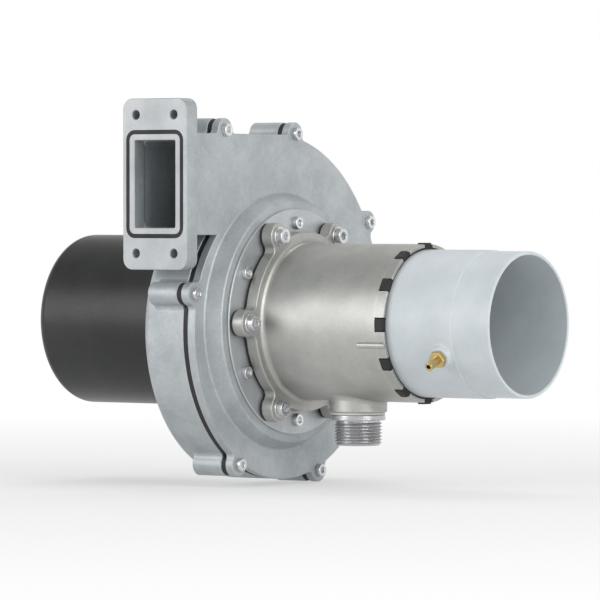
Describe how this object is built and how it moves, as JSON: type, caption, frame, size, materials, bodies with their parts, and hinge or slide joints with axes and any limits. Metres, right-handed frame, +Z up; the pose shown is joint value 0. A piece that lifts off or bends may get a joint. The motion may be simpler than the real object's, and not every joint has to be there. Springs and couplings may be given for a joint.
{
  "type": "combustion fan",
  "caption": "Combustion fan with a cast spiral scroll, shrouded impeller, electronic motor under a black cap, and a venturi mixer with gas stub and air adapter on its inlet.",
  "frame": {"origin": "middle of the outlet flange's face, at the centre of its four tapped holes", "axes": "+X along the shaft from the motor to the air inlet, -Y out of the outlet (towards the boiler's front), +Z up"},
  "size_m": [0.3056, 0.1908, 0.2148],
  "materials": {
    "cast_aluminium": "die cast, fine satin",
    "mixer_metal": "turned casting, satin",
    "sheet_metal": "rolled sheet, satin",
    "zinc_steel": "bright zinc plate",
    "steel": "machined",
    "laminated_iron": "stacked sheet, oiled",
    "rubber": "moulded, matt",
    "gasket": "flat fibre sheet, matt",
    "cap_plastic": "moulded, fine grain",
    "dark_plastic": "moulded, smooth",
    "pale_plastic": "moulded, satin",
    "white_plastic": "moulded, satin",
    "chip_plastic": "moulded, matt",
    "brass": "turned",
    "copper": "enamelled wire",
    "ferrite": "pressed, matt",
    "can_metal": "drawn can",
    "board": "lacquered glass-fibre board"
  },
  "bodies": {
    "housing": {"scroll_body": "cast_aluminium", "outlet_seal": "rubber", "scroll_seal": "rubber", "scroll_cover": "cast_aluminium", "scroll_screws": "zinc_steel", "inlet_nozzle": "sheet_metal", "nozzle_screws": "zinc_steel", "mixer_gasket": "gasket", "mixer_body": "mixer_metal", "mixer_washers": "zinc_steel", "mixer_screws": "zinc_steel", "venturi_inlet": "dark_plastic", "venturi_diffuser": "dark_plastic", "gas_stub": "steel", "gas_washer": "white_plastic", "inlet_rubber": "rubber", "air_adapter": "pale_plastic", "pressure_nipple": "brass", "motor_gasket": "gasket", "motor_flange": "cast_aluminium", "motor_screws": "zinc_steel", "shaft_seal": "gasket", "bearing_outer_rings": "steel", "preload_spring": "steel", "stator_core": "laminated_iron", "coil_formers": "white_plastic", "stator_coils": "copper", "rear_shield": "cast_aluminium", "tie_bolts": "steel", "circuit_board": "board", "board_capacitors": "can_metal", "board_choke": "ferrite", "board_chips": "chip_plastic", "power_socket": "white_plastic", "signal_socket": "white_plastic", "socket_pins": "brass", "motor_cap": "cap_plastic", "cap_screws": "steel"},
    "rotor": {"bearing_inner_rings": "steel", "shaft": "steel", "rotor_core": "laminated_iron", "rotor_magnet": "ferrite", "impeller_hub": "steel", "impeller_disc": "sheet_metal", "impeller_blades": "sheet_metal", "impeller_shroud": "sheet_metal", "impeller_rivets": "steel", "impeller_nut": "zinc_steel"},
    "ball_train": {"bearing_balls": "steel", "bearing_cages": "brass"}
  },
  "joints": [
    {"name": "rotor_spin", "type": "hinge", "parent": "housing", "child": "rotor", "pos_m": [0, 0.0915, -0.0765], "axis": [1, 0, 0], "continuous": true},
    {"name": "ball_roll", "type": "hinge", "parent": "housing", "child": "ball_train", "pos_m": [0, 0.0915, -0.0765], "axis": [1, 0, 0], "continuous": true}
  ],
  "couplings": [
    {"joint": "ball_roll", "follows": "rotor_spin", "ratio": 0.3867}
  ]
}
